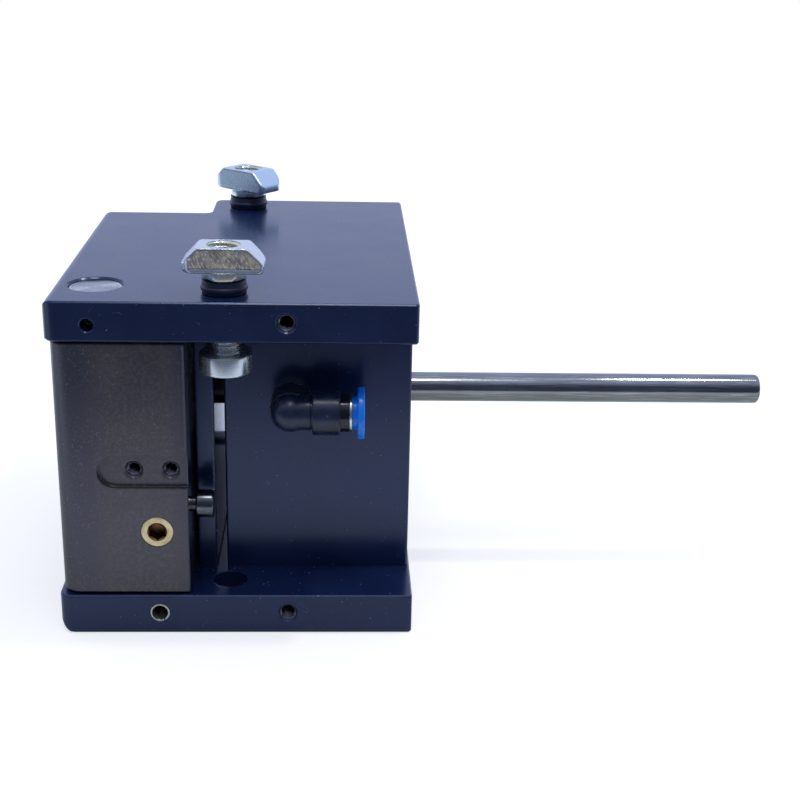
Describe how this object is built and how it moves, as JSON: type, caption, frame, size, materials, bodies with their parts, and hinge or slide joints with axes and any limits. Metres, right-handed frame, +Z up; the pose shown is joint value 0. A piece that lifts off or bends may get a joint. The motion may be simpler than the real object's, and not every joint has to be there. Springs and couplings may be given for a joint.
{
  "type": "pneumatic stop cylinder",
  "caption": "Side-mounted pneumatic conveyor stop: an air piston swings a spring-returned stop lever between two plates that hammer nuts clamp to a T-slot.",
  "frame": {"origin": "centre of the bottom plate's underside", "axes": "+X along the piston rod to its free end, +Y to the rear, away from the port side, +Z up to the nuts"},
  "size_m": [0.1866, 0.1167, 0.0993],
  "materials": {
    "navy_anodised": "navy-black anodised aluminium, satin",
    "lever_anodised": "hard-anodised aluminium, warm dark grey",
    "zinc_steel": "zinc-plated steel, bluish with yellow stains",
    "ground_steel": "ground and hardened steel",
    "dark_steel": "blackened steel",
    "spring_steel": "bare spring steel",
    "plain_aluminium": "turned aluminium",
    "brass": "turned brass",
    "bronze": "sintered bronze",
    "nickel_brass": "nickel-plated brass",
    "black_plastic": "black moulded plastic",
    "blue_plastic": "blue moulded plastic",
    "rubber": "black nitrile rubber"
  },
  "bodies": {
    "housing": {"top_plate": "navy_anodised", "bottom_plate": "navy_anodised", "cylinder_body": "navy_anodised", "partition_plate": "navy_anodised", "tie_screw_1": "zinc_steel", "tie_screw_2": "zinc_steel", "tie_screw_3": "zinc_steel", "tie_screw_4": "zinc_steel", "pivot_pin": "ground_steel", "pivot_set_screw": "dark_steel", "roll_pin": "spring_steel", "abutment_pin": "ground_steel", "rod_bush_left": "black_plastic", "rod_bush_right": "bronze", "end_cap": "navy_anodised", "end_cap_seal": "rubber", "rod_wiper": "rubber", "retaining_ring": "spring_steel", "fitting_stud": "nickel_brass", "elbow_seal": "rubber"},
    "lever": {"stop_lever": "lever_anodised", "pivot_bush_lower": "bronze", "pivot_bush_upper": "bronze", "pressure_pad": "ground_steel", "stop_pin": "dark_steel", "stop_nose": "dark_steel", "nose_screw_lower": "zinc_steel", "nose_screw_upper": "zinc_steel", "return_spring": "spring_steel"},
    "plunger": {"spring_plunger": "ground_steel"},
    "adjuster": {"spring_adjuster": "brass"},
    "piston": {"piston": "plain_aluminium", "piston_seal": "rubber", "piston_pin": "ground_steel", "piston_rod": "ground_steel"},
    "elbow": {"elbow": "black_plastic", "tube_seal": "rubber", "metal_ring": "nickel_brass"},
    "release_ring": {"release_ring": "blue_plastic"},
    "front_clamp": {"front_clamp_screw": "zinc_steel", "front_sleeve": "black_plastic"},
    "rear_clamp": {"rear_clamp_screw": "zinc_steel", "rear_sleeve": "black_plastic"},
    "front_nut": {"front_nut": "zinc_steel"},
    "rear_nut": {"rear_nut": "zinc_steel"}
  },
  "joints": [
    {"name": "lever_swing", "type": "hinge", "parent": "housing", "child": "lever", "pos_m": [-0.034, -0.0425, 0.044], "axis": [0, 0, 1], "range_deg": [0, 11], "stiffness_Nm_per_rad": 1.5},
    {"name": "piston_stroke", "type": "slide", "parent": "housing", "child": "piston", "axis": [-1, 0, 0], "range_m": [0, 0.0054]},
    {"name": "plunger_slide", "type": "slide", "parent": "lever", "child": "plunger", "axis": [0, -1, 0], "range_m": [0, 0.0031], "deforming": ["return_spring"]},
    {"name": "adjuster_turn", "type": "hinge", "parent": "lever", "child": "adjuster", "pos_m": [-0.0194, -0.0537, 0.0279], "axis": [0, 1, 0], "continuous": true},
    {"name": "elbow_swivel", "type": "hinge", "parent": "housing", "child": "elbow", "pos_m": [0.0136, -0.051, 0.0576], "axis": [0, 1, 0], "range_deg": [-90, 180]},
    {"name": "release_press", "type": "slide", "parent": "elbow", "child": "release_ring", "axis": [-1, 0, 0], "range_m": [0, 0.001], "stiffness_N_per_m": 800},
    {"name": "front_clamp_lift", "type": "slide", "parent": "housing", "child": "front_clamp", "axis": [0, 0, 1], "range_m": [0, 0.004]},
    {"name": "rear_clamp_lift", "type": "slide", "parent": "housing", "child": "rear_clamp", "axis": [0, 0, 1], "range_m": [0, 0.004]},
    {"name": "front_nut_turn", "type": "hinge", "parent": "front_clamp", "child": "front_nut", "pos_m": [-0.0022, -0.0485, 0.0965], "axis": [0, 0, 1], "continuous": true},
    {"name": "rear_nut_turn", "type": "hinge", "parent": "rear_clamp", "child": "rear_nut", "pos_m": [-0.0022, 0.0485, 0.0965], "axis": [0, 0, 1], "continuous": true}
  ],
  "couplings": [
    {"joint": "piston_stroke", "follows": "lever_swing", "m_per_rad": 0.0277},
    {"joint": "plunger_slide", "follows": "lever_swing", "m_per_rad": 0.016}
  ]
}
